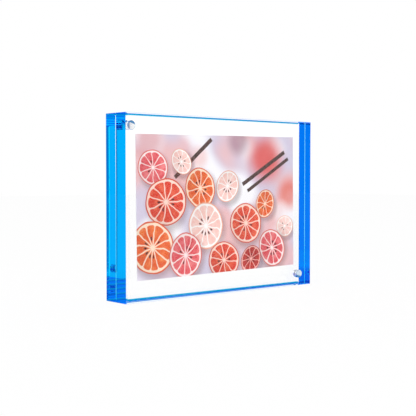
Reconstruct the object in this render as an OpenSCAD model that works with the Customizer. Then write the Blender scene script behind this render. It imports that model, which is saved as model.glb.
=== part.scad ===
// Free-standing magnetic display frame: two thick clear blocks with tinted edges,
// held face to face by small magnets, with a photo print floating between them.
// The origin is at the bottom centre of the closed frame. The picture faces -Y.

/* [Frame] */
// Width of the frame across its face
frame_w = 177.8; // [130:0.1:260]
// Height of the frame
frame_h = 127; // [100:0.1:210]
// Thickness of one clear block
block_t = 12; // [8:0.1:20]
// Bevel round the outer face of each block
face_bevel = 0.9; // [0.5:0.05:1.5]
// Bevel round the seam face of each block
seam_bevel = 0.2; // [0.2:0.05:1]
// Bevel at the corners, where two tinted edges meet
corner_bevel = 0.1; // [0.05:0.05:0.15]

/* [Tinted edges] */
// Thickness of the tinted layer bonded to each edge
tint_t = 0.1; // [0.1:0.05:0.15]

/* [Magnets] */
// Diameter of a magnet
magnet_d = 6.35; // [3:0.05:8]
// Length of a magnet
magnet_t = 3.175; // [1.5:0.025:6]
// Bevel on both rims of a magnet
magnet_bevel = 0.25; // [0.1:0.05:0.5]
// Distance from a magnet's axis to the two nearest sides of the frame
magnet_inset = 8.2; // [6:0.1:11]
// Glue gap round a magnet in its pocket
pocket_clear = 0.06; // [0.02:0.01:0.2]
// Glue gap behind a magnet, at the closed end of its pocket
pocket_floor_gap = 0.15; // [0.05:0.05:0.4]
// How far a magnet sits below the seam face
magnet_recess = 0.1; // [0.05:0.05:0.3]

/* [Print] */
// Width of the photo print
print_w = 151; // [80:0.1:152.4]
// Height of the photo print
print_h = 99.5; // [60:0.1:115]
// Thickness of the photo print
print_t = 0.25; // [0.15:0.01:0.5]
// How far the middle of the print lies above the middle of the frame
print_rise = 0.9; // [-3:0.1:3]
// How far the print is turned in its slot, in degrees, right end up seen from the front
print_turn = 0.7; // [-2:0.1:2]
// Clearance on each side of the print, between the two blocks
print_clear = 0.02; // [0.01:0.01:0.1]

/* [Hidden] */

$fn = 96;
// How far a cut runs past the solid that it cuts
overrun = 1;
// Half of the air gap between the two seam faces
seam_half = print_t / 2 + print_clear;
// Middle of the frame's height
mid_z = frame_h / 2;
// Depth of a magnet pocket from the seam face
pocket_depth = magnet_recess + magnet_t + pocket_floor_gap;

// Each block is drawn once, with its seam face at y = 0 and its outer face at y = block_t.
// The back block keeps that way round, and the front one is its mirror image.
module in_back() {
    translate([0, seam_half, 0]) children();
}

module in_front() {
    translate([0, -seam_half, 0]) mirror([0, 1, 0]) children();
}

// Section through a block: half its length along u, from seam face to outer face along v,
// with all four corners bevelled
function block_section(half_u, seam_c, face_c) = [
    [-half_u + seam_c, 0],
    [half_u - seam_c, 0],
    [half_u, seam_c],
    [half_u, block_t - face_c],
    [half_u - face_c, block_t],
    [-half_u + face_c, block_t],
    [-half_u, block_t - face_c],
    [-half_u, seam_c]
];

// A block with bevels on all eight long edges, drawn in from the frame's outline by inset.
// The bevel planes are the same ones at any inset, so the tinted layer ends flush with them.
module bevelled_block(inset) {
    half_w = frame_w / 2 - inset;
    half_h = frame_h / 2 - inset;
    seam_c = seam_bevel - inset;
    face_c = face_bevel - inset;
    intersection() {
        translate([0, 0, mid_z - half_h])
            linear_extrude(2 * half_h)
                polygon(block_section(half_w, seam_c, face_c));
        translate([-half_w, 0, mid_z])
            rotate([0, 90, 0])
                linear_extrude(2 * half_w)
                    polygon(block_section(half_h, seam_c, face_c));
    }
}

// The frame's outline seen from the front, with its four corners bevelled
module outline() {
    half_w = frame_w / 2;
    polygon([
        [-half_w + corner_bevel, 0],
        [half_w - corner_bevel, 0],
        [half_w, corner_bevel],
        [half_w, frame_h - corner_bevel],
        [half_w - corner_bevel, frame_h],
        [-half_w + corner_bevel, frame_h],
        [-half_w, frame_h - corner_bevel],
        [-half_w, corner_bevel]
    ]);
}

// Turns a front view into a solid that runs past both faces of a block
module through_block() {
    translate([0, block_t + overrun, 0])
        rotate([90, 0, 0])
            linear_extrude(block_t + 2 * overrun)
                children();
}

// The four tinted layers before they are parted: the outer shape less the clear block
module tinted_ring() {
    difference() {
        intersection() {
            bevelled_block(0);
            through_block() outline();
        }
        translate([-frame_w / 2 + tint_t, -overrun, tint_t])
            cube([frame_w - 2 * tint_t, block_t + 2 * overrun, frame_h - 2 * tint_t]);
    }
}

// Front view of the share of the ring that belongs to an upright edge, parted by 45 degree mitres.
// side is -1 for the left edge and 1 for the right one.
module upright_sector(side) {
    outer_x = side * (frame_w / 2 + overrun);
    inner_x = side * (frame_w / 2 - overrun);
    polygon([
        [outer_x, -overrun],
        [inner_x, overrun],
        [inner_x, frame_h - overrun],
        [outer_x, frame_h + overrun]
    ]);
}

// The same for a level edge. outer_z and inner_z are the heights of the two parting points.
module level_sector(outer_z, inner_z) {
    outer_x = frame_w / 2 + overrun;
    inner_x = frame_w / 2 - overrun;
    polygon([
        [-outer_x, outer_z],
        [outer_x, outer_z],
        [inner_x, inner_z],
        [-inner_x, inner_z]
    ]);
}

module left_edge() {
    color("DodgerBlue") intersection() {
        tinted_ring();
        through_block() upright_sector(-1);
    }
}

module right_edge() {
    color("DodgerBlue") intersection() {
        tinted_ring();
        through_block() upright_sector(1);
    }
}

module top_edge() {
    color("DodgerBlue") intersection() {
        tinted_ring();
        through_block() level_sector(frame_h + overrun, frame_h - overrun);
    }
}

module bottom_edge() {
    color("DodgerBlue") intersection() {
        tinted_ring();
        through_block() level_sector(-overrun, overrun);
    }
}

// Places of the two magnets in a block: upper left and lower right, seen from the front
module at_upper_magnet() {
    translate([-frame_w / 2 + magnet_inset, 0, frame_h - magnet_inset])
        rotate([-90, 0, 0]) children();
}

module at_lower_magnet() {
    translate([frame_w / 2 - magnet_inset, 0, magnet_inset])
        rotate([-90, 0, 0]) children();
}

// Blind round pocket, sunk from the seam face
module pocket() {
    translate([0, 0, -overrun])
        cylinder(d = magnet_d + 2 * pocket_clear, h = pocket_depth + overrun);
}

module clear_block() {
    color("WhiteSmoke", 0.4) difference() {
        bevelled_block(tint_t);
        at_upper_magnet() pocket();
        at_lower_magnet() pocket();
    }
}

// Round plated magnet with bevelled rims, turned about its axis
module magnet() {
    r = magnet_d / 2;
    color("Silver")
        translate([0, 0, magnet_recess])
            rotate_extrude()
                polygon([
                    [0, 0],
                    [r - magnet_bevel, 0],
                    [r, magnet_bevel],
                    [r, magnet_t - magnet_bevel],
                    [r - magnet_bevel, magnet_t],
                    [0, magnet_t]
                ]);
}

module front_block() { in_front() clear_block(); }
module front_left_edge() { in_front() left_edge(); }
module front_right_edge() { in_front() right_edge(); }
module front_top_edge() { in_front() top_edge(); }
module front_bottom_edge() { in_front() bottom_edge(); }
module front_upper_magnet() { in_front() at_upper_magnet() magnet(); }
module front_lower_magnet() { in_front() at_lower_magnet() magnet(); }

module back_block() { in_back() clear_block(); }
module back_left_edge() { in_back() left_edge(); }
module back_right_edge() { in_back() right_edge(); }
module back_top_edge() { in_back() top_edge(); }
module back_bottom_edge() { in_back() bottom_edge(); }
module back_upper_magnet() { in_back() at_upper_magnet() magnet(); }
module back_lower_magnet() { in_back() at_lower_magnet() magnet(); }

// Flat sheet between the blocks in a clear margin, lying a little askew as it was put in by hand
module photo_print() {
    color("LightPink")
        translate([0, 0, mid_z + print_rise])
            rotate([0, -print_turn, 0])
                translate([-print_w / 2, -print_t / 2, -print_h / 2])
                    cube([print_w, print_t, print_h]);
}

front_block();
front_left_edge();
front_right_edge();
front_top_edge();
front_bottom_edge();
front_upper_magnet();
front_lower_magnet();
back_block();
back_left_edge();
back_right_edge();
back_top_edge();
back_bottom_edge();
back_upper_magnet();
back_lower_magnet();
photo_print();
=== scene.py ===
import bpy
import math
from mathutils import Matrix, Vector


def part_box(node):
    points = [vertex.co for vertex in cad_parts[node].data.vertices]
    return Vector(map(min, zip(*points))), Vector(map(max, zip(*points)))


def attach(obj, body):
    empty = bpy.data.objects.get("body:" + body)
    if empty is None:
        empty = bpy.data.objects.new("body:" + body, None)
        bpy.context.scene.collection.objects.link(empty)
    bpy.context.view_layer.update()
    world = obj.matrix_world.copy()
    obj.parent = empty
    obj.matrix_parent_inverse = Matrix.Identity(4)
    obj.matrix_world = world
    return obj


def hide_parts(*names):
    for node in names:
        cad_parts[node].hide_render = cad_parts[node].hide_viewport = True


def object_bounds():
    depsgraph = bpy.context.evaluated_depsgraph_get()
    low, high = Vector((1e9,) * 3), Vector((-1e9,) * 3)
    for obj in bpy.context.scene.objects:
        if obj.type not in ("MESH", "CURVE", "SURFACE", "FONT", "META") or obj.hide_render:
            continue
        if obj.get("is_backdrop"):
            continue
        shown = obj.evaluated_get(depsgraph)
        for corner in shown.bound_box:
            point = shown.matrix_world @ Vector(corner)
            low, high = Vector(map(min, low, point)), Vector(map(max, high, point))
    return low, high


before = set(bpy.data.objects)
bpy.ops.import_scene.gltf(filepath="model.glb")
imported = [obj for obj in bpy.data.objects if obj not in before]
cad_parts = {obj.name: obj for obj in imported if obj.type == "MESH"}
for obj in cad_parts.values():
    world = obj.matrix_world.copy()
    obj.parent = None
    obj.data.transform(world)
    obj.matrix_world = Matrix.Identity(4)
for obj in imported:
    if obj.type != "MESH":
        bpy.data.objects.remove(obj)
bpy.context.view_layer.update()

mm = 0.001
white = (1, 1, 1, 1)
scene = bpy.context.scene


# Helpers for node trees

def addNode(tree, kind, values=None, **settings):
    made = tree.nodes.new(kind)
    for name, setting in settings.items():
        setattr(made, name, setting)
    for key, value in (values or {}).items():
        if isinstance(value, bpy.types.NodeSocket):
            tree.links.new(value, made.inputs[key])
        else:
            made.inputs[key].default_value = value
    return made


def maths(tree, operation, a, b=0.0, c=0.0):
    return addNode(tree, "ShaderNodeMath", {0: a, 1: b, 2: c}, operation=operation).outputs[0]


def multiply(tree, *values):
    total = values[0]
    for value in values[1:]:
        total = maths(tree, "MULTIPLY", total, value)
    return total


def addUp(tree, *values):
    total = values[0]
    for value in values[1:]:
        total = maths(tree, "ADD", total, value)
    return total


def hypotenuse(tree, a, b):
    return maths(tree, "SQRT", addUp(tree, multiply(tree, a, a), multiply(tree, b, b)))


def vectorMaths(tree, operation, a, b=(0, 0, 0)):
    made = addNode(tree, "ShaderNodeVectorMath", {0: a, 1: b}, operation=operation)
    return made.outputs["Value" if operation in ("LENGTH", "DISTANCE", "DOT_PRODUCT") else "Vector"]


def scaleVector(tree, vector, factor):
    return addNode(tree, "ShaderNodeVectorMath", {0: vector, 3: factor}, operation="SCALE").outputs[0]


def splitVector(tree, vector):
    return addNode(tree, "ShaderNodeSeparateXYZ", {0: vector}).outputs


def joinVector(tree, x=0.0, y=0.0, z=0.0):
    return addNode(tree, "ShaderNodeCombineXYZ", {0: x, 1: y, 2: z}).outputs[0]


def joinColour(tree, parts):
    return addNode(tree, "ShaderNodeCombineColor", dict(enumerate(parts))).outputs[0]


def mixNumbers(tree, factor, a, b):
    return addNode(tree, "ShaderNodeMix", {0: factor, 2: a, 3: b}).outputs[0]


def mixColours(tree, factor, a, b):
    return addNode(tree, "ShaderNodeMix", {0: factor, 6: a, 7: b}, data_type="RGBA").outputs[2]


def smoothStep(tree, value, low, high, start=0.0, end=1.0):
    step = addNode(tree, "ShaderNodeMapRange", {0: value, 1: low, 2: high, 3: start, 4: end},
                   interpolation_type="SMOOTHSTEP")
    return step.outputs[0]


def noise(tree, place, scale, detail):
    return addNode(tree, "ShaderNodeTexNoise", {"Vector": place, "Scale": scale, "Detail": detail}).outputs[0]


def objectPlace(tree):
    return tree.nodes.new("ShaderNodeTexCoord").outputs["Object"]


def newGroup(name, kind, inputs, outputs):
    group = bpy.data.node_groups.new(name, kind)
    for label, socketType, value in inputs:
        socket = group.interface.new_socket(label, in_out="INPUT", socket_type="NodeSocket" + socketType)
        if value is not None:
            socket.default_value = value
    for label, socketType in outputs:
        group.interface.new_socket(label, in_out="OUTPUT", socket_type="NodeSocket" + socketType)
    return group, group.nodes.new("NodeGroupInput").outputs, group.nodes.new("NodeGroupOutput").inputs


def useGroup(tree, group, values):
    return addNode(tree, "ShaderNodeGroup", values, node_tree=group).outputs


def newMaterial(name):
    material = bpy.data.materials.new(name)
    material.use_nodes = True
    tree = material.node_tree
    tree.nodes.clear()
    return material, tree, tree.nodes.new("ShaderNodeOutputMaterial")


# Camera at the photograph's place

cameraValues = {
    "place": (-436.07 * mm, -497.42 * mm, 84.46 * mm),
    "turn": 40.744,  # degrees from straight ahead towards +X
    "tilt": 1.992,  # degrees downwards
    "focal": 903.56,  # in the photograph's pixels
    "photoSize": 416.0,
    "sensor": 36.0,
}
camera = bpy.data.objects.new("camera", bpy.data.cameras.new("camera"))
camera.data.sensor_width = cameraValues["sensor"]
camera.data.lens = cameraValues["focal"] / cameraValues["photoSize"] * cameraValues["sensor"]
camera.location = cameraValues["place"]
camera.rotation_euler = (math.radians(90 - cameraValues["tilt"]), 0, -math.radians(cameraValues["turn"]))
scene.collection.objects.link(camera)
scene.camera = camera
print("camera set")


# World and floor: white to the camera and through the acrylic, dimmer in reflections from low down

studioValues = {
    "light": 0.85,  # the world's strength on matt surfaces
    "lowReflection": 0.02,  # its strength in reflections of what lies low down
    "highReflection": 0.9,  # and of what is overhead
    "reflectionRise": (0.1, 0.8),  # where the one turns into the other, as the direction's Z
    "throughGlow": 1.12,  # the bright background stays white through the acrylic
    "ceiling": (0.62, 0.62, 0.66, 1),  # what the acrylic bends down from overhead
    "ceilingFrom": (0.5, 0.75),  # as the direction's Z too
    # Dark screens that show only in light mirrored inside the frame: colour, start and end
    # in degrees from -Y towards +X, and how far up and down, as the direction's Z
    "screens": [
        ((0.42, 0.46, 0.6, 1), 26.0, 35.78, 0.16),
        ((0.4, 0.42, 0.5, 1), -153.0, -141.5, 0.16),
        ((0.68, 0.68, 0.92, 1), -141.0, -125.0, 0.16),
        ((0.1, 0.15, 0.47, 1), -50.0, -15.0, 0.95),
    ],
    "screenBlur": {"start": 0.03, "end": 0.001, "height": 0.04},  # the sides in radians
    "floorSize": 6.0,
    "floorColour": (0.93, 0.93, 0.935, 1),
    "floorGlow": 0.93,  # the share that glows, so that the rest still shows the frame's shadow
    "floorDrop": 0.05 * mm,  # the frame's weight rests on the high spots of the floor
    "floorUnder": (0.06, 0.5, 0.85, 1),  # the floor right under the frame, lit through its blue base
    "underReach": (0.3 * mm, 2 * mm),  # where that ends, by the length of the ray that meets the floor
    "rearShadow": (0.36, 0.37, 0.85, 1),  # mirrored light sees the floor behind the frame in a blue shadow
    "rearFloor": (0.85, 0.86, 1.0, 1),  # and paler further away
    "shadowReach": (0.06, 0.11),  # where it gets paler, by the distance from the frame's middle
    "rearEnd": (0.07, 0.09),  # along X
    "rearStart": (0.0, 0.02),  # along Y
    # Where mirrored light starts to go past the floor to the screens, in front of the frame and behind it
    "screensFrom": [(0.1, 0.15), (0.25, 0.28)],
    "bounces": 48,  # light runs far along the inside of the blocks
    "clearBounces": 64,
}


def seenDirectly(tree, path):
    return maths(tree, "MAXIMUM", path.outputs["Is Camera Ray"], path.outputs["Is Transmission Ray"])


def seenByMirror(tree, path):  # light that has mirrored inside the frame and left it again
    mirrored = maths(tree, "GREATER_THAN", path.outputs["Glossy Depth"], 0.5)
    return multiply(tree, path.outputs["Is Transmission Ray"], mirrored)


def throughGlow(tree, path):
    return mixNumbers(tree, path.outputs["Is Transmission Ray"], 1.0, studioValues["throughGlow"])


def addScreens(tree, colour, way, path):
    x, y, z = splitVector(tree, way)
    azimuth = maths(tree, "ARCTAN2", x, multiply(tree, y, -1.0))
    slope = maths(tree, "ABSOLUTE", z)
    mirrored = seenByMirror(tree, path)
    blur = studioValues["screenBlur"]
    for tone, start, end, height in studioValues["screens"]:
        low, high = math.radians(start), math.radians(end)
        inside = multiply(tree, smoothStep(tree, azimuth, low - blur["start"], low),
                          smoothStep(tree, azimuth, high, high + blur["end"], 1.0, 0.0),
                          smoothStep(tree, slope, height - blur["height"], height + blur["height"], 1.0, 0.0))
        colour = mixColours(tree, multiply(tree, inside, mirrored), colour, tone)
    return colour


def makeWorld():
    world = bpy.data.worlds.new("studio")
    scene.world = world
    world.use_nodes = True
    tree = world.node_tree
    path = tree.nodes.new("ShaderNodeLightPath")
    way = tree.nodes.new("ShaderNodeTexCoord").outputs["Generated"]
    height = splitVector(tree, way)[2]
    reflection = smoothStep(tree, height, *studioValues["reflectionRise"],
                            studioValues["lowReflection"], studioValues["highReflection"])
    strength = mixNumbers(tree, path.outputs["Is Glossy Ray"], studioValues["light"], reflection)
    strength = mixNumbers(tree, seenDirectly(tree, path), strength, throughGlow(tree, path))
    overhead = smoothStep(tree, height, *studioValues["ceilingFrom"])
    through = mixColours(tree, overhead, white, studioValues["ceiling"])
    through = addScreens(tree, through, way, path)
    colour = mixColours(tree, path.outputs["Is Transmission Ray"], white, through)
    background = tree.nodes["Background"]
    tree.links.new(colour, background.inputs["Color"])
    tree.links.new(strength, background.inputs["Strength"])


def floorMaterial():
    material, tree, out = newMaterial("floor")
    path = tree.nodes.new("ShaderNodeLightPath")
    spot = objectPlace(tree)
    away = vectorMaths(tree, "LENGTH", spot)
    x, y = splitVector(tree, spot)[:2]
    rear = multiply(tree, smoothStep(tree, x, *studioValues["rearEnd"], 1.0, 0.0),
                    smoothStep(tree, y, *studioValues["rearStart"]))
    mirrored = seenByMirror(tree, path)
    behind = mixColours(tree, smoothStep(tree, away, *studioValues["shadowReach"]),
                        studioValues["rearShadow"], studioValues["rearFloor"])
    through = mixColours(tree, multiply(tree, mirrored, rear), white, behind)
    touching = smoothStep(tree, path.outputs["Ray Length"], *studioValues["underReach"], 1.0, 0.0)
    through = mixColours(tree, touching, through, studioValues["floorUnder"])
    seen = mixColours(tree, path.outputs["Is Transmission Ray"], white, through)
    matt = addNode(tree, "ShaderNodeBsdfDiffuse", {"Color": studioValues["floorColour"]})
    dim = addNode(tree, "ShaderNodeEmission", {"Color": white, "Strength": studioValues["lowReflection"]})
    bright = addNode(tree, "ShaderNodeEmission", {"Color": seen, "Strength": throughGlow(tree, path)})
    opening = addNode(tree, "ShaderNodeBsdfTransparent")  # lets mirrored light go on to the world's screens
    near, far = (smoothStep(tree, away, *reach) for reach in studioValues["screensFrom"])
    layers = [
        (path.outputs["Is Glossy Ray"], dim),
        (seenDirectly(tree, path), bright),
        (multiply(tree, mirrored, mixNumbers(tree, rear, near, far)), opening),
    ]
    shader = matt.outputs[0]
    for weight, layer in layers:
        weight = multiply(tree, weight, studioValues["floorGlow"])
        shader = addNode(tree, "ShaderNodeMixShader", {0: weight, 1: shader, 2: layer.outputs[0]}).outputs[0]
    tree.links.new(shader, out.inputs["Surface"])
    return material


def makeFloor():
    half = studioValues["floorSize"] / 2
    low = -studioValues["floorDrop"]
    mesh = bpy.data.meshes.new("floor")
    mesh.from_pydata([(-half, -half, low), (half, -half, low), (half, half, low), (-half, half, low)],
                     [], [(0, 1, 2, 3)])
    mesh.materials.append(floorMaterial())
    floor = bpy.data.objects.new("floor", mesh)
    scene.collection.objects.link(floor)
    floor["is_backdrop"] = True


lampValues = {
    "place": (-0.9, -1.4, 1.5),
    "aim": (0, 0, 0.06),
    "size": 1.2,
    "power": 12,
}


def makeLamp():
    lamp = bpy.data.objects.new("key", bpy.data.lights.new("key", "AREA"))
    lamp.data.shape = "DISK"
    lamp.data.size = lampValues["size"]
    lamp.data.energy = lampValues["power"]
    lamp.location = lampValues["place"]
    way = Vector(lampValues["aim"]) - Vector(lampValues["place"])
    lamp.rotation_euler = way.to_track_quat("-Z", "Y").to_euler()
    scene.collection.objects.link(lamp)


makeWorld()
makeFloor()
makeLamp()
scene.view_settings.view_transform = "Standard"
scene.cycles.max_bounces = studioValues["bounces"]
scene.cycles.glossy_bounces = studioValues["bounces"]
scene.cycles.transmission_bounces = studioValues["bounces"]
scene.cycles.transparent_max_bounces = studioValues["clearBounces"]
scene.cycles.blur_glossy = 0.0  # keeps the acrylic sharp for the light that reaches the print
print("world, floor and lamp set")


# Sizes of the frame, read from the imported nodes

frameLow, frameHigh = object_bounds()
frameWidth, frameHeight = (frameHigh[i] - frameLow[i] for i in (0, 2))
middleHeight = frameHeight / 2
blockLow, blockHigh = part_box("back_block")
edgeLow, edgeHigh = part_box("back_left_edge")
tintThickness = edgeHigh[0] - edgeLow[0]
cornerBevel = 2 * edgeLow[2]
seamHalf = blockLow[1]
blockThickness = blockHigh[1] - blockLow[1]
faceBevel = blockHigh[1] - edgeHigh[1] + tintThickness
seamBevel = edgeLow[1] - blockLow[1] + tintThickness
magnetLow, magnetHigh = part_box("back_upper_magnet")
magnetX, magnetZ = ((magnetLow[i] + magnetHigh[i]) / 2 for i in (0, 2))
magnetRadius = (magnetHigh[0] - magnetLow[0]) / 2
magnetLength = magnetHigh[1] - magnetLow[1]
magnetRecess = magnetLow[1] - seamHalf
printLow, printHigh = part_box("photo_print")
quarterTurn = math.pi / 2
print("sizes in mm", [round(v / mm, 3) for v in (tintThickness, cornerBevel, seamHalf, blockThickness,
                                                 faceBevel, seamBevel)])


# Marks that polishing leaves on the acrylic and the plating

markValues = {
    "detail": 6.0,
    "roughness": 0.7,
    "shows": (0.56, 0.72),  # from no mark to a full one, by the noise
}


def makePolishMarks():
    group, given, put = newGroup(
        "polishMarks", "ShaderNodeTree",
        [("Coordinates", "Vector", None), ("Scale", "Float", 30.0), ("Amount", "Float", 0.05)],
        [("Roughness", "Float")])
    marks = addNode(group, "ShaderNodeTexNoise", {
        "Vector": given["Coordinates"], "Scale": given["Scale"],
        "Detail": markValues["detail"], "Roughness": markValues["roughness"]})
    fine = smoothStep(group, marks.outputs[0], *markValues["shows"])
    group.links.new(multiply(group, fine, given["Amount"]), put["Roughness"])
    return group


polishMarks = makePolishMarks()


def markedRoughness(tree, values):
    marks = useGroup(tree, polishMarks, {
        "Coordinates": objectPlace(tree), "Scale": values["markScale"], "Amount": values["markRoughness"]})
    return marks["Roughness"]


# Clear acrylic

acrylicValues = {
    "colour": (0.992, 0.994, 0.994, 1),
    "ior": {"front": 1.448, "back": 1.435},  # sets where the light's zigzag through a block ends
    "markScale": 140.0,
    "markRoughness": 0.05,
    "critical": 0.72,  # cosine below which light inside mirrors at a face
    "upperGlow": (0.0, 0.42, 0.7, 1),  # the level bevels glow in the layer's colour where they would mirror
    "lowerGlow": (0.0, 0.38, 0.68, 1),
    "bevelSlope": 0.5,  # a level bevel's normal is steeper than this, by its Z
    "mostMirrors": 2.5,  # the glow is left out of light that has mirrored more often
    "seamRimPaintedShade": (0.00001, 0.3, 0.95),  # colour of one thickness on the rim of the seam faces: painted shade, the frame's blue shadow on the floor as the seam shows it
    "rimWidth": 0.6 * mm,
    "rimShadeThickness": {  # its thickness at the foot, higher up, and the share of the height where it stops thinning, so the painted shade deepens low down
        "left": (0.55, 0.0, 0.78),
        "right": (0.85, 0.27, 0.3),
    },
}


def seamRimPaintedShade(tree):  # where the rim is, and its painted shade, deeper towards the foot
    x, y, z = splitVector(tree, objectPlace(tree))
    rimStart = frameWidth / 2 - acrylicValues["rimWidth"]
    outer = maths(tree, "GREATER_THAN", maths(tree, "ABSOLUTE", x), rimStart)
    inner = maths(tree, "LESS_THAN", maths(tree, "ABSOLUTE", y), seamHalf + seamBevel)
    # the painted shade thickens towards the foot, and more so at the right end
    left, right = (
        addNode(tree, "ShaderNodeMapRange", {
            0: z, 1: 0.0, 2: frameHeight * reach, 3: foot, 4: above}).outputs[0]
        for foot, above, reach in acrylicValues["rimShadeThickness"].values())
    thickness = mixNumbers(tree, maths(tree, "GREATER_THAN", x, 0.0), left, right)
    colour = joinColour(tree, [maths(tree, "POWER", part, thickness) for part in acrylicValues["seamRimPaintedShade"]])
    return multiply(tree, outer, inner), colour


def bevelGlow(tree):  # the glow's colour and where light inside meets a level bevel too slantwise to leave
    geometry = tree.nodes.new("ShaderNodeNewGeometry").outputs
    level = splitVector(tree, geometry["True Normal"])[2]  # inside, a lower bevel's normal points up
    slant = addNode(tree, "ShaderNodeLayerWeight", {"Blend": 0.5}).outputs["Facing"]
    path = tree.nodes.new("ShaderNodeLightPath")
    place = multiply(
        tree, geometry["Backfacing"],
        maths(tree, "GREATER_THAN", maths(tree, "ABSOLUTE", level), acrylicValues["bevelSlope"]),
        maths(tree, "LESS_THAN", path.outputs["Glossy Depth"], acrylicValues["mostMirrors"]),
        maths(tree, "GREATER_THAN", slant, 1.0 - acrylicValues["critical"]))
    colour = mixColours(tree, maths(tree, "GREATER_THAN", level, 0.0),
                        acrylicValues["upperGlow"], acrylicValues["lowerGlow"])
    return colour, place


def polishedAcrylic(body):
    material, tree, out = newMaterial(body + "Acrylic")
    # the rim of the seam faces gets painted shade, deeper towards the foot
    rim, rimShadeColour = seamRimPaintedShade(tree)
    glass = addNode(tree, "ShaderNodeBsdfPrincipled", {
        "Base Color": mixColours(tree, rim, acrylicValues["colour"], rimShadeColour),
        "Transmission Weight": 1.0, "IOR": acrylicValues["ior"][body],
        "Roughness": markedRoughness(tree, acrylicValues)})
    colour, place = bevelGlow(tree)
    glow = addNode(tree, "ShaderNodeBsdfRefraction", {"Color": colour, "IOR": 1.0, "Roughness": 0.0})
    mix = addNode(tree, "ShaderNodeMixShader", {0: place, 1: glass.outputs[0], 2: glow.outputs[0]})
    tree.links.new(mix.outputs[0], out.inputs["Surface"])
    return material


def bondedAcrylic():  # against the tinted layer or the glue nothing bends or mirrors the light
    material, tree, out = newMaterial("bondedAcrylic")
    clear = addNode(tree, "ShaderNodeBsdfTransparent", {"Color": white})
    tree.links.new(clear.outputs[0], out.inputs["Surface"])
    return material


# Tinted layers: the outer skin has the colour of one straight way through,
# and the dye behind it deepens that colour where the light runs slantwise

tintValues = {
    "skin": (0.0003, 0.54, 0.97, 1),
    "mirror": (0.0, 0.3, 0.9, 1),
    "dye": (0.003, 0.53, 1.0),  # light left after each further thickness of the layer
    "mostThicknesses": 1.6,
    "leastCosine": 0.05,  # keeps the way through the layer finite
    "missed": 0.5,  # share of the light that mirrors off the glue line at a shallow angle and misses the dye
    "missedFrom": (0.1, 0.35),  # from that share down to none, as the cosine of the angle
    "markScale": 220.0,
    "markRoughness": 0.05,
}


def tintedSkin(body):
    material, tree, out = newMaterial(body + "TintedSkin")
    glass = addNode(tree, "ShaderNodeBsdfPrincipled", {
        "Base Color": tintValues["skin"], "Transmission Weight": 1.0, "IOR": acrylicValues["ior"][body],
        "Specular Tint": tintValues["mirror"], "Roughness": markedRoughness(tree, tintValues)})
    tree.links.new(glass.outputs[0], out.inputs["Surface"])
    return material


def tintedDye():
    material, tree, out = newMaterial("tintedDye")
    slant = addNode(tree, "ShaderNodeLayerWeight", {"Blend": 0.5}).outputs["Facing"]
    cosine = maths(tree, "MAXIMUM", maths(tree, "SUBTRACT", 1.0, slant), tintValues["leastCosine"])
    further = maths(tree, "SUBTRACT", maths(tree, "DIVIDE", 1.0, cosine), 1.0)
    further = maths(tree, "MINIMUM", further, tintValues["mostThicknesses"])
    colour = joinColour(tree, [maths(tree, "POWER", part, further) for part in tintValues["dye"]])
    missed = smoothStep(tree, cosine, *tintValues["missedFrom"], tintValues["missed"], 0.0)
    dye = addNode(tree, "ShaderNodeBsdfTransparent", {"Color": mixColours(tree, missed, colour, white)})
    tree.links.new(dye.outputs[0], out.inputs["Surface"])
    return material


# Geometry Nodes: a piece is a flat shape pushed out in steps, and the top is scaled after each step

mergeDistance = 1e-7


def flatSheet(tree, width, height, columns=2, rows=2):
    return addNode(tree, "GeometryNodeMeshGrid", {
        "Size X": width, "Size Y": height, "Vertices X": columns, "Vertices Y": rows}).outputs["Mesh"]


def pushOut(tree, mesh, top, step, scaleX=1.0, scaleY=1.0):
    push = addNode(tree, "GeometryNodeExtrudeMesh", {
        "Mesh": mesh, "Selection": top, "Offset": (0, 0, 1), "Offset Scale": step}, mode="FACES")
    spot = tree.nodes.new("GeometryNodeInputPosition").outputs[0]
    moved = vectorMaths(tree, "MULTIPLY", spot, joinVector(tree, scaleX, scaleY, 1.0))
    scaled = addNode(tree, "GeometryNodeSetPosition", {
        "Geometry": push.outputs["Mesh"], "Selection": push.outputs["Top"], "Position": moved}).outputs[0]
    return scaled, push.outputs["Top"], push.outputs["Side"]


def closeBase(tree, mesh, base):
    turned = addNode(tree, "GeometryNodeFlipFaces", {"Mesh": base}).outputs[0]
    both = tree.nodes.new("GeometryNodeJoinGeometry")
    tree.links.new(turned, both.inputs[0])
    tree.links.new(mesh, both.inputs[0])
    return addNode(tree, "GeometryNodeMergeByDistance", {
        "Geometry": both.outputs[0], "Distance": mergeDistance}).outputs[0]


def markFaces(tree, mesh, name, value):
    return addNode(tree, "GeometryNodeStoreNamedAttribute", {"Geometry": mesh, "Name": name, "Value": value},
                   data_type="BOOLEAN", domain="FACE").outputs[0]


def markedFaces(tree, name):
    return addNode(tree, "GeometryNodeInputNamedAttribute", {"Name": name}, data_type="BOOLEAN").outputs[0]


def putInPlace(tree, mesh, given, put, material, marked=()):
    moved = addNode(tree, "GeometryNodeTransform", {
        "Geometry": mesh, "Rotation": given["Turn"], "Translation": given["Place"]}).outputs[0]
    result = addNode(tree, "GeometryNodeRealizeInstances", {0: moved}).outputs[0]
    result = addNode(tree, "GeometryNodeSetMaterial", {
        "Geometry": result, "Material": given[material]}).outputs[0]
    for mark, label in marked:
        result = addNode(tree, "GeometryNodeSetMaterial", {
            "Geometry": result, "Selection": markedFaces(tree, mark), "Material": given[label]}).outputs[0]
    tree.links.new(result, put["Geometry"])


def shapeTree(name, sizes, materials):
    inputs = [(label, "Float", 0.01) for label in sizes]
    inputs += [("Turn", "Vector", None), ("Place", "Vector", None)]
    inputs += [(label, "Material", None) for label in materials]
    return newGroup(name, "GeometryNodeTree", inputs, [("Geometry", "Geometry")])


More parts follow.
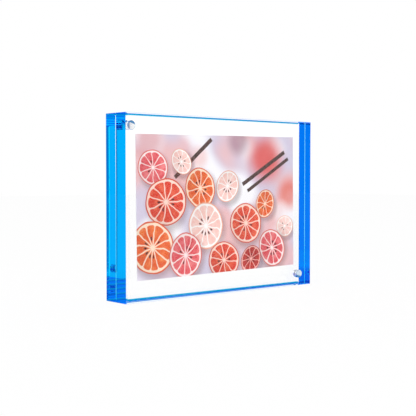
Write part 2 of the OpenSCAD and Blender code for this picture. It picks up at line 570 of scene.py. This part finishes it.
def runTree(name, tree, values):
    piece = bpy.data.objects.new(name, bpy.data.meshes.new(name))
    scene.collection.objects.link(piece)
    modifier = piece.modifiers.new("shape", "NODES")
    modifier.node_group = tree
    for item in tree.interface.items_tree:
        if item.in_out == "INPUT":
            modifier[item.identifier] = values[item.name]
    evaluated = piece.evaluated_get(bpy.context.evaluated_depsgraph_get())
    mesh = bpy.data.meshes.new_from_object(evaluated)
    piece.modifiers.remove(modifier)
    piece.data = mesh
    mesh.name = name
    return piece


def lessTwice(tree, whole, part):
    return maths(tree, "SUBTRACT", whole, multiply(tree, part, 2.0))


def share(tree, part, whole):
    return maths(tree, "DIVIDE", part, whole)


# Clear blocks, each with two blind pockets

pocketFacets = 64


def blockTree():
    tree, given, put = shapeTree("clearBlock", [
        "Width", "Height", "Thickness", "Seam Bevel", "Face Bevel", "Pocket X", "Pocket Y",
        "Pocket Radius", "Pocket Depth"], ["Polished", "Bonded"])
    width, height, seam, face = (given[label] for label in ("Width", "Height", "Seam Bevel", "Face Bevel"))
    seamWidth, seamHeight = lessTwice(tree, width, seam), lessTwice(tree, height, seam)
    base = flatSheet(tree, seamWidth, seamHeight)
    mesh, top, _ = pushOut(tree, base, True, seam,
                           share(tree, width, seamWidth), share(tree, height, seamHeight))
    straight = maths(tree, "SUBTRACT", given["Thickness"], addUp(tree, seam, face))
    mesh, top, side = pushOut(tree, mesh, top, straight)
    mesh = markFaces(tree, mesh, "bonded", side)
    mesh = pushOut(tree, mesh, top, face, share(tree, lessTwice(tree, width, face), width),
                   share(tree, lessTwice(tree, height, face), height))[0]
    closed = closeBase(tree, mesh, base)
    first = joinVector(tree, given["Pocket X"], given["Pocket Y"])
    across = scaleVector(tree, first, -2.0)  # the second pocket lies opposite the first
    centres = addNode(tree, "GeometryNodeMeshLine", {"Count": 2, "Start Location": first, "Offset": across})
    drill = addNode(tree, "GeometryNodeMeshCylinder", {
        "Vertices": pocketFacets, "Radius": given["Pocket Radius"],
        "Depth": multiply(tree, given["Pocket Depth"], 2.0)}).outputs["Mesh"]
    drills = addNode(tree, "GeometryNodeInstanceOnPoints", {
        "Points": centres.outputs[0], "Instance": markFaces(tree, drill, "bonded", True)}).outputs[0]
    cut = addNode(tree, "GeometryNodeMeshBoolean", {0: closed}, operation="DIFFERENCE", solver="EXACT")
    tree.links.new(addNode(tree, "GeometryNodeRealizeInstances", {0: drills}).outputs[0], cut.inputs[1])
    putInPlace(tree, cut.outputs[0], given, put, "Polished", [("bonded", "Bonded")])
    return tree


# Tinted edge layers, mitred at the corners

def edgeTree():
    tree, given, put = shapeTree("tintedEdge", ["Length", "Depth", "Thickness", "Corner Bevel"],
                                 ["Skin", "Dye", "Bonded"])
    length, depth, thick = (given[label] for label in ("Length", "Depth", "Thickness"))
    corner = given["Corner Bevel"]
    rise = multiply(tree, corner, 0.5)  # where the corner's bevel meets the mitre
    baseLength, baseDepth = lessTwice(tree, length, thick), addUp(tree, depth, thick, thick)
    mitreLength, mitreDepth = maths(tree, "SUBTRACT", length, corner), addUp(tree, depth, corner)
    base = markFaces(tree, flatSheet(tree, baseLength, baseDepth), "dyed", True)
    mesh, top, side = pushOut(tree, base, True, maths(tree, "SUBTRACT", thick, rise),
                              share(tree, mitreLength, baseLength), share(tree, mitreDepth, baseDepth))
    mesh = markFaces(tree, mesh, "dyed", False)
    normal = splitVector(tree, tree.nodes.new("GeometryNodeInputNormal").outputs[0])
    endwise = maths(tree, "GREATER_THAN", maths(tree, "ABSOLUTE", normal[0]), 0.5)
    mitre = addNode(tree, "FunctionNodeBooleanMath", {0: side, 1: endwise}, operation="AND").outputs[0]
    mesh = markFaces(tree, mesh, "mitre", mitre)
    mesh = pushOut(tree, mesh, top, rise, share(tree, lessTwice(tree, length, corner), mitreLength),
                   share(tree, depth, mitreDepth))[0]
    mesh = markFaces(tree, mesh, "dyed", False)
    putInPlace(tree, closeBase(tree, mesh, base), given, put, "Skin", [("dyed", "Dye"), ("mitre", "Bonded")])
    return tree


# Plated magnets with rounded rims

magnetValues = {
    "colour": (0.92, 0.91, 0.9, 1),
    "roughness": 0.03,
    "markScale": 900.0,
    "markRoughness": 0.2,
    "paintedShadeColour": {"upper": (0.36, 0.46, 0.58, 1), "lower": (0.64, 0.73, 0.8, 1)},  # painted shade over part of the outer end, darker on the upper magnets
    "paintedShadeTo": {"upper": -1.5 * mm, "lower": 2.6 * mm},  # how far across from the axis the painted shade reaches
    "paintedSideShare": {"upper": 0.0, "lower": 0.3},  # share of the painted shade that shows along the side
    "paintedEdgeBlur": 0.5 * mm,
    "paintedReflection": (0.09, 0.27, 0.5, 1),  # painted reflection of the nearest blue edge, an arc along the rim that lies nearest to the frame's edge
    "paintedReflectionFrom": 1.4 * mm,
    "paintedReflectionSlope": 0.3,
    "rims": {"Seam Rim": 0.1 * mm, "Outer Rim": 0.3 * mm},
    "rimSteps": 4,
    "hold": 0.02 * mm,  # narrow bands that keep the straight side straight in its shading
    "facets": 64,
}


# Each level of magnet gets its own plating, with its own painted shade
def nickelPlating(level, across):
    material, tree, out = newMaterial(level + "Plating")
    axis = (across * magnetX, 0, middleHeight + across * (magnetZ - middleHeight))
    x, y, z = splitVector(tree, vectorMaths(tree, "SUBTRACT", objectPlace(tree), axis))
    blur, paintedShadeTo, paintedReflectionFrom = (magnetValues[name] for name in ("paintedEdgeBlur", "paintedShadeTo", "paintedReflectionFrom"))
    # painted shade on the end, on the -X side of a line across it
    paintedShadeMask = smoothStep(tree, x, paintedShadeTo[level] - blur, paintedShadeTo[level] + blur, 1.0, 0.0)
    # painted reflection of the nearest blue edge, in an arc along the outer end's rim
    slanted = maths(tree, "MULTIPLY_ADD", x, magnetValues["paintedReflectionSlope"], z)
    paintedReflection = smoothStep(tree, multiply(tree, slanted, across), paintedReflectionFrom - blur, paintedReflectionFrom + blur)
    outerEnd = seamHalf + magnetRecess + magnetLength - magnetValues["rims"]["Outer Rim"]
    behind = maths(tree, "GREATER_THAN", maths(tree, "ABSOLUTE", y), outerEnd)
    # the painted shade covers the outer end, and a share of it shows along the side
    paintedShadeShare = maths(tree, "MAXIMUM", behind, magnetValues["paintedSideShare"][level])
    colour = mixColours(tree, multiply(tree, paintedShadeMask, paintedShadeShare), magnetValues["colour"],
                        magnetValues["paintedShadeColour"][level])
    colour = mixColours(tree, multiply(tree, paintedReflection, behind), colour, magnetValues["paintedReflection"])
    metal = addNode(tree, "ShaderNodeBsdfPrincipled", {
        "Base Color": colour, "Metallic": 1.0,
        "Roughness": addUp(tree, markedRoughness(tree, magnetValues), magnetValues["roughness"])})
    tree.links.new(metal.outputs[0], out.inputs["Surface"])
    return material


def magnetTree():
    tree, given, put = shapeTree("platedMagnet", ["Radius", "Length", "Seam Rim", "Outer Rim"], ["Plating"])
    seamRound, outerRound = given["Seam Rim"], given["Outer Rim"]
    steps = magnetValues["rimSteps"]

    def radiusAt(rim, k):
        inset = multiply(tree, rim, 1 - math.sin(quarterTurn * k / steps))
        return maths(tree, "SUBTRACT", given["Radius"], inset)

    def riseAt(rim, k):
        rise = math.cos(quarterTurn * (k - 1) / steps) - math.cos(quarterTurn * k / steps)
        return multiply(tree, rim, rise)

    circle = {"Vertices": magnetValues["facets"], "Radius": radiusAt(seamRound, 0)}
    base = addNode(tree, "GeometryNodeMeshCircle", circle, fill_type="NGON").outputs["Mesh"]
    mesh, top = base, True
    for k in range(1, steps + 1):
        factor = share(tree, radiusAt(seamRound, k), radiusAt(seamRound, k - 1))
        mesh, top, _ = pushOut(tree, mesh, top, riseAt(seamRound, k), factor, factor)
    straight = maths(tree, "SUBTRACT", given["Length"], addUp(tree, seamRound, outerRound))
    hold = magnetValues["hold"]
    for step in (hold, lessTwice(tree, straight, hold), hold):
        mesh, top, _ = pushOut(tree, mesh, top, step)
    for k in range(steps, 0, -1):
        factor = share(tree, radiusAt(outerRound, k - 1), radiusAt(outerRound, k))
        mesh, top, _ = pushOut(tree, mesh, top, riseAt(outerRound, k), factor, factor)
    mesh = markFaces(tree, mesh, "flat", top)
    closed = closeBase(tree, mesh, markFaces(tree, base, "flat", True))
    flat = markedFaces(tree, "flat")
    smooth = addNode(tree, "FunctionNodeBooleanMath", {0: flat}, operation="NOT").outputs[0]
    shaded = addNode(tree, "GeometryNodeSetShadeSmooth", {0: closed, "Shade Smooth": smooth}).outputs[0]
    putInPlace(tree, shaded, given, put, "Plating")
    return tree


# Print: a sheet with a picture of sliced fruit and sticks on one side

def paint(red, green, blue):  # a colour as it is on the screen, made linear
    parts = [value / 255 for value in (red, green, blue)]
    return tuple(v / 12.92 if v <= 0.04045 else ((v + 0.055) / 1.055) ** 2.4 for v in parts) + (1,)


printValues = {  # each noise has its scale and its detail
    "ripple": 0.01 * mm,  # how far the sheet bows in its narrow slot
    "rippleNoise": (30.0, 0.0),
    "grid": (60, 40),
    "roughness": 0.28,
    "sheen": 0.12,  # satin paper shows little of the bright room
    "paper": (paint(232, 232, 230), paint(242, 241, 238)),
    "paperNoise": (900.0, 4.0),
    "paperRoughness": 0.5,
    "haze": paint(210, 202, 220),
    "warmHaze": paint(232, 188, 190),
    "warmNoise": (0.022, 1.0),
    "warmShows": (0.4, 0.62),
    "paleHaze": paint(246, 245, 249),
    "paleNoise": {"Scale": 0.03, "Detail": 0.0, "W": 5.0},
    "paleShows": (0.48, 0.66),
    "blurred": [  # out of focus: centre and radius in mm, strength, colour
        ((46, 33), 25, 0.85, paint(218, 66, 60)),
        ((71, 6), 17, 0.75, paint(224, 92, 66)),
        ((18, 46), 15, 0.6, paint(150, 106, 128)),
        ((-64, 46), 18, 0.6, paint(206, 112, 118)),
        ((-20, 34), 12, 0.4, paint(232, 150, 136)),
        ((62, -8), 12, 0.5, paint(250, 248, 250)),
    ],
    "blurredCore": 0.25,  # share of the radius that has the full strength
}

stickValues = {
    "sticks": [  # start and end in mm, half the width
        ((66, 38), (22, 14), 1.5),
        ((70, 33), (27, 9), 1.3),
        ((-8, 47), (-42, 20), 1.5),
    ],
    "bark": (paint(44, 26, 26), paint(104, 66, 58)),
    "barkShows": (0.35, 0.7),
    "grainNoise": (1.6, 4.0),
    "grainAlong": 0.25,  # stretches the grain
    "uneven": 0.5,  # how far the grain moves the sides, in mm
    "sideBlur": 0.25,
    "endBlur": 0.3,
}

fruitValues = {  # places and widths on a slice are shares of its radius
    "slices": [  # centre and radius in mm, turn, squash, segments, tone
        ((-61, 27), 13, 0.3, 0.93, 10, "pink"),
        ((45, -1), 11, 1.9, 0.85, 9, "orange"),
        ((-36, 31), 10, 0.8, 0.80, 9, "pale"),
        ((66, -19), 9, 0.1, 0.9, 9, "pale"),
        ((7, 13), 12, 2.2, 0.88, 10, "pale"),
        ((-50, 3), 18, 0.0, 0.92, 11, "coral"),
        ((-19, 12), 15, 1.1, 0.90, 10, "orange"),
        ((25, -15), 16, 0.5, 0.92, 11, "coral"),
        ((52, -35), 15, 0.9, 0.86, 10, "pink"),
        ((-14, -15), 17, 1.4, 0.94, 11, "pale"),
        ((-62, -28), 19, 0.7, 0.94, 12, "orange"),
        ((3, -41), 15, 0.2, 0.90, 10, "coral"),
        ((-33, -35), 16, 1.7, 0.92, 11, "pink"),
        ((30, -42), 11, 2.4, 0.85, 9, "red"),
    ],
    "tones": {  # flesh, lighter flesh, pith, rind
        "coral": (paint(220, 50, 26), paint(242, 120, 80), paint(252, 220, 206), paint(214, 70, 34)),
        "orange": (paint(228, 84, 20), paint(246, 146, 76), paint(253, 228, 204), paint(222, 86, 26)),
        "pink": (paint(224, 70, 80), paint(246, 148, 148), paint(253, 234, 232), paint(222, 96, 84)),
        "pale": (paint(246, 196, 186), paint(253, 236, 230), paint(255, 252, 250), paint(240, 172, 142)),
        "red": (paint(178, 20, 20), paint(222, 72, 54), paint(244, 186, 176), paint(190, 52, 38)),
    },
    "unevenNoise": (0.09, 2.0),
    "unevenRim": 0.1,
    "unevenWalls": 0.8,
    "wallEdge": (0.008, 0.04),
    "coreEdge": (0.05, 0.12),
    "fleshTo": 0.86,
    "cornersLower": 0.09,  # rounds the outer corners of a segment
    "cornerPower": 4.0,
    "fleshBlur": 0.02,
    "sacStretch": (3.4, 3.0, 7.7),  # around, outwards, and from one size of slice to the next
    "sacs": {"Scale": 1.6, "Randomness": 0.9},
    "sacLightness": 0.6,
    "cloudNoise": (0.16, 3.0),
    "cloudLightness": (0.4, 0.75, -0.2, 0.35),
    "rindEdge": (0.925, 0.96),
    "rimEdge": (0.985, 1.01),
    "shade": (-1.3, 0.9, 0.86, 1.0),  # the light comes from one side
    "seed": paint(84, 24, 18),
    "seedAway": 0.34,  # from the middle
    "seedShare": 0.55,  # of the segments hold one
    "seedShape": (0.1, 0.5),  # across and along, where more is narrower
    "seedEdge": (0.03, 0.05),
    "shadow": paint(104, 46, 46),
    "shadowShift": (-1.5, 2.5, 0),  # in mm, against the way that it falls
    "shadowFade": (0.8, 1.22, 0.42, 0.0),
}


def fleshMask(group, given, across, away):  # the segments, apart from their walls and the core
    wall = maths(group, "DIVIDE", multiply(group, maths(group, "SUBTRACT", 1.0, across), away),
                 maths(group, "DIVIDE", given["Segments"], math.pi))  # how far off the nearest wall is
    rounded = maths(group, "POWER", across, fruitValues["cornerPower"])
    limit = maths(group, "MULTIPLY_ADD", rounded, -fruitValues["cornersLower"], fruitValues["fleshTo"])
    blur = fruitValues["fleshBlur"]
    return multiply(group, smoothStep(group, wall, *fruitValues["wallEdge"]),
                    smoothStep(group, maths(group, "SUBTRACT", away, limit), -blur, blur, 1.0, 0.0),
                    smoothStep(group, away, *fruitValues["coreEdge"]))


def juicyFlesh(group, given, around, away):
    spots = zip((around, away, given["Radius"]), fruitValues["sacStretch"])
    place = joinVector(group, *(multiply(group, spot, stretch) for spot, stretch in spots))
    sacs = addNode(group, "ShaderNodeTexVoronoi", {"Vector": place, **fruitValues["sacs"]})
    cloud = noise(group, given["Place"], *fruitValues["cloudNoise"])
    lightness = addUp(group, multiply(group, sacs.outputs["Distance"], fruitValues["sacLightness"]),
                      smoothStep(group, cloud, *fruitValues["cloudLightness"]))
    return mixColours(group, lightness, given["Flesh"], given["Light Flesh"])


def seedMask(group, given, around, across, away):
    wide, long = fruitValues["seedShape"]
    along = maths(group, "SUBTRACT", away, fruitValues["seedAway"])
    reach = hypotenuse(group, multiply(group, across, wide), multiply(group, along, long))
    segment = joinVector(group, maths(group, "FLOOR", around), given["Radius"], given["Turn"])
    chance = addNode(group, "ShaderNodeTexWhiteNoise", {"Vector": segment}).outputs["Value"]
    return multiply(group, smoothStep(group, reach, *fruitValues["seedEdge"], 1.0, 0.0),
                    maths(group, "LESS_THAN", chance, fruitValues["seedShare"]))


def makeFruitSlice():
    group, given, put = newGroup(
        "fruitSlice", "ShaderNodeTree",
        [("Place", "Vector", None), ("Centre", "Vector", None), ("Radius", "Float", 15.0),
         ("Turn", "Float", 0.0), ("Squash", "Float", 1.0), ("Segments", "Float", 10.0),
         ("Flesh", "Color", None), ("Light Flesh", "Color", None), ("Pith", "Color", None),
         ("Rind", "Color", None)],
        [("Colour", "Color"), ("Mask", "Float"), ("Shadow", "Float")])
    radius = given["Radius"]
    local = vectorMaths(group, "SUBTRACT", given["Place"], given["Centre"])
    turned = addNode(group, "ShaderNodeVectorRotate", {"Vector": local, "Angle": given["Turn"]},
                     rotation_type="Z_AXIS")
    parts = splitVector(group, turned.outputs[0])
    x = maths(group, "DIVIDE", parts[0], radius)
    y = maths(group, "DIVIDE", parts[1], multiply(group, radius, given["Squash"]))
    uneven = maths(group, "SUBTRACT", noise(group, given["Place"], *fruitValues["unevenNoise"]), 0.5)
    rim = maths(group, "MULTIPLY_ADD", uneven, fruitValues["unevenRim"], 1.0)
    away = multiply(group, hypotenuse(group, x, y), rim)
    turns = maths(group, "DIVIDE", maths(group, "ARCTAN2", y, x), 2 * math.pi)
    around = maths(group, "MULTIPLY_ADD", turns, given["Segments"],
                   multiply(group, uneven, fruitValues["unevenWalls"]))
    across = maths(group, "ABSOLUTE", maths(group, "SUBTRACT", maths(group, "FRACT", around), 0.5))
    across = multiply(group, across, 2.0)  # 0 in the middle of a segment and 1 at its walls
    inside = mixColours(group, seedMask(group, given, around, across, away),
                        juicyFlesh(group, given, around, away), fruitValues["seed"])
    whole = mixColours(group, fleshMask(group, given, across, away), given["Pith"], inside)
    whole = mixColours(group, smoothStep(group, away, *fruitValues["rindEdge"]), whole, given["Rind"])
    shade = smoothStep(group, addUp(group, x, y), *fruitValues["shade"])
    reach = vectorMaths(group, "LENGTH", vectorMaths(group, "ADD", local, fruitValues["shadowShift"]))
    dark = smoothStep(group, maths(group, "DIVIDE", reach, radius), *fruitValues["shadowFade"])
    group.links.new(scaleVector(group, whole, shade), put["Colour"])
    group.links.new(smoothStep(group, away, *fruitValues["rimEdge"], 1.0, 0.0), put["Mask"])
    group.links.new(dark, put["Shadow"])
    return group


def blurredSpot(tree, colour, place, centre, radius, strength, tone):
    away = vectorMaths(tree, "DISTANCE", place, (*centre, 0))
    core = radius * printValues["blurredCore"]
    return mixColours(tree, smoothStep(tree, away, core, radius, strength, 0.0), colour, tone)


def driedStick(tree, colour, place, start, end, halfWidth):
    start, end = Vector((*start, 0)), Vector((*end, 0))
    length, along = (end - start).length, (end - start).normalized()
    local = vectorMaths(tree, "SUBTRACT", place, start)
    run = vectorMaths(tree, "DOT_PRODUCT", local, along)
    side = vectorMaths(tree, "DOT_PRODUCT", local, (-along.y, along.x, 0))
    bark = joinVector(tree, multiply(tree, run, stickValues["grainAlong"]), side)
    grain = noise(tree, bark, *stickValues["grainNoise"])
    side = maths(tree, "MULTIPLY_ADD", maths(tree, "SUBTRACT", grain, 0.5), stickValues["uneven"], side)
    side = maths(tree, "ABSOLUTE", side)
    sideBlur, endBlur = stickValues["sideBlur"], stickValues["endBlur"]
    inside = smoothStep(tree, side, halfWidth - sideBlur, halfWidth + sideBlur, 1.0, 0.0)
    ends = multiply(tree, smoothStep(tree, run, -endBlur, endBlur),
                    smoothStep(tree, run, length - endBlur, length + endBlur, 1.0, 0.0))
    brown = mixColours(tree, smoothStep(tree, grain, *stickValues["barkShows"]), *stickValues["bark"])
    return mixColours(tree, multiply(tree, inside, ends), colour, brown)


def picture(centre, turn):
    material, tree, out = newMaterial("picture")
    local = vectorMaths(tree, "SUBTRACT", objectPlace(tree), centre)
    level = addNode(tree, "ShaderNodeVectorRotate", {"Vector": local, "Angle": turn}, rotation_type="Y_AXIS")
    parts = splitVector(tree, level.outputs[0])
    place = joinVector(tree, *(maths(tree, "DIVIDE", parts[i], mm) for i in (0, 2)))  # in mm
    warm = smoothStep(tree, noise(tree, place, *printValues["warmNoise"]), *printValues["warmShows"])
    colour = mixColours(tree, warm, printValues["haze"], printValues["warmHaze"])
    pale = addNode(tree, "ShaderNodeTexNoise", {"Vector": place, **printValues["paleNoise"]},
                   noise_dimensions="4D").outputs[0]
    pale = smoothStep(tree, pale, *printValues["paleShows"])
    colour = mixColours(tree, pale, colour, printValues["paleHaze"])
    for spot in printValues["blurred"]:
        colour = blurredSpot(tree, colour, place, *spot)
    for stick in stickValues["sticks"]:
        colour = driedStick(tree, colour, place, *stick)
    fruitSlice = makeFruitSlice()
    for middle, radius, sliceTurn, squash, segments, tone in fruitValues["slices"]:
        flesh, light, pith, rind = fruitValues["tones"][tone]
        fruit = useGroup(tree, fruitSlice, {
            "Place": place, "Centre": (*middle, 0), "Radius": radius, "Turn": sliceTurn, "Squash": squash,
            "Segments": segments, "Flesh": flesh, "Light Flesh": light, "Pith": pith, "Rind": rind})
        colour = mixColours(tree, fruit["Shadow"], colour, fruitValues["shadow"])
        colour = mixColours(tree, fruit["Mask"], colour, fruit["Colour"])
    paper = addNode(tree, "ShaderNodeBsdfPrincipled", {
        "Base Color": colour, "Roughness": printValues["roughness"],
        "Specular IOR Level": printValues["sheen"]})
    tree.links.new(paper.outputs[0], out.inputs["Surface"])
    return material


def paperBack():
    material, tree, out = newMaterial("paperBack")
    fibre = noise(tree, objectPlace(tree), *printValues["paperNoise"])
    paper = addNode(tree, "ShaderNodeBsdfPrincipled", {
        "Base Color": mixColours(tree, fibre, *printValues["paper"]),
        "Roughness": printValues["paperRoughness"]})
    tree.links.new(paper.outputs[0], out.inputs["Surface"])
    return material


def sheetTree():
    tree, given, put = shapeTree("printSheet", ["Width", "Height", "Thickness", "Ripple"],
                                 ["Paper", "Picture"])
    base = flatSheet(tree, given["Width"], given["Height"], *printValues["grid"])
    spot = tree.nodes.new("GeometryNodeInputPosition").outputs[0]
    bow = maths(tree, "SUBTRACT", noise(tree, spot, *printValues["rippleNoise"]), 0.5)
    lift = joinVector(tree, z=multiply(tree, bow, given["Ripple"]))
    base = addNode(tree, "GeometryNodeSetPosition", {"Geometry": base, "Offset": lift}).outputs[0]
    step = {"Mesh": base, "Offset": (0, 0, 1), "Offset Scale": given["Thickness"], "Individual": False}
    push = addNode(tree, "GeometryNodeExtrudeMesh", step, mode="FACES")
    mesh = markFaces(tree, push.outputs["Mesh"], "printed", push.outputs["Top"])
    base = markFaces(tree, base, "printed", False)
    putInPlace(tree, closeBase(tree, mesh, base), given, put, "Paper", [("printed", "Picture")])
    return tree


# Pieces

bondGap = 0.01 * mm  # keeps rays from meeting a block and its tinted layers at once
gluePlay = {"round": 0.06 * mm, "behind": 0.15 * mm}
ways = {  # turns that point a pushed-out shape forwards or backwards, and their signs along Y
    "front": ((quarterTurn, 0, 0), -1),
    "back": ((quarterTurn, 0, math.pi), 1),
}
edges = {  # turn about Y, and place of the middle along X and Z, as shares of the half sizes
    "left": (-quarterTurn, -1, 0),
    "top": (0, 0, 1),
    "right": (quarterTurn, 1, 0),
    "bottom": (math.pi, 0, -1),
}
levels = {"upper": 1, "lower": -1}  # the lower magnets are in the opposite corners


def addPiece(piece, body, node):
    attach(piece, body)
    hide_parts(node)


def makeBlocks(bonded):
    shape = blockTree()
    inset = tintThickness + bondGap
    for body, (turn, sign) in ways.items():
        block = runTree(body + "Block", shape, {
            "Width": frameWidth - 2 * inset, "Height": frameHeight - 2 * inset, "Thickness": blockThickness,
            "Seam Bevel": seamBevel - inset, "Face Bevel": faceBevel - inset,
            "Pocket X": -sign * magnetX, "Pocket Y": magnetZ - middleHeight,
            "Pocket Radius": magnetRadius + gluePlay["round"],
            "Pocket Depth": magnetRecess + magnetLength + gluePlay["behind"],
            "Turn": turn, "Place": (0, sign * seamHalf, middleHeight),
            "Polished": polishedAcrylic(body), "Bonded": bonded})
        addPiece(block, body, body + "_block")
    print("clear blocks made")


def makeEdges(bonded):
    shape, dye = edgeTree(), tintedDye()
    depth = blockThickness - seamBevel - faceBevel
    middle = seamHalf + seamBevel + depth / 2
    for body, (_, sign) in ways.items():
        skin = tintedSkin(body)
        for side, (turn, alongX, alongZ) in edges.items():
            edge = runTree(body + side.capitalize() + "Edge", shape, {
                "Length": frameHeight if alongX else frameWidth, "Depth": depth, "Thickness": tintThickness,
                "Corner Bevel": cornerBevel, "Turn": (0, turn, 0),
                "Place": (alongX * (frameWidth / 2 - tintThickness), sign * middle,
                          middleHeight + alongZ * (middleHeight - tintThickness)),
                "Skin": skin, "Dye": dye, "Bonded": bonded})
            addPiece(edge, body, body + "_" + side + "_edge")
    print("tinted edges made")


def makeMagnets():
    shape = magnetTree()
    platings = {level: nickelPlating(level, across) for level, across in levels.items()}
    for body, (turn, sign) in ways.items():
        for level, across in levels.items():
            magnet = runTree(body + level.capitalize() + "Magnet", shape, {
                "Radius": magnetRadius, "Length": magnetLength, **magnetValues["rims"], "Turn": turn,
                "Place": (across * magnetX, sign * (seamHalf + magnetRecess),
                          middleHeight + across * (magnetZ - middleHeight)),
                "Plating": platings[level]})
            addPiece(magnet, body, body + "_" + level + "_magnet")
    print("magnets made")


def makePrint():
    corners = [vertex.co for vertex in bpy.data.objects["photo_print"].data.vertices]
    lowLeft, lowRight = (min(corners, key=lambda c: side * c.x + c.z) for side in (1, -1))
    highRight = max(corners, key=lambda c: c.x + c.z)
    across = Vector((lowRight.x - lowLeft.x, 0, lowRight.z - lowLeft.z))
    turn = math.atan2(across.z, across.x)
    height = (highRight.z - lowRight.z) / math.cos(turn)
    centre = ((lowLeft.x + highRight.x) / 2, printHigh[1], (lowLeft.z + highRight.z) / 2)
    sheet = runTree("photoPrint", sheetTree(), {
        "Width": across.length, "Height": height, "Thickness": printHigh[1] - printLow[1],
        "Ripple": printValues["ripple"], "Turn": (quarterTurn, -turn, 0), "Place": centre,
        "Paper": paperBack(), "Picture": picture(centre, turn)})
    addPiece(sheet, "print", "photo_print")
    print("print made, in mm", [round(v / mm, 2) for v in (across.length, height)],
          "turned by", round(math.degrees(turn), 2))


bonded = bondedAcrylic()
makeBlocks(bonded)
makeEdges(bonded)
makeMagnets()
makePrint()
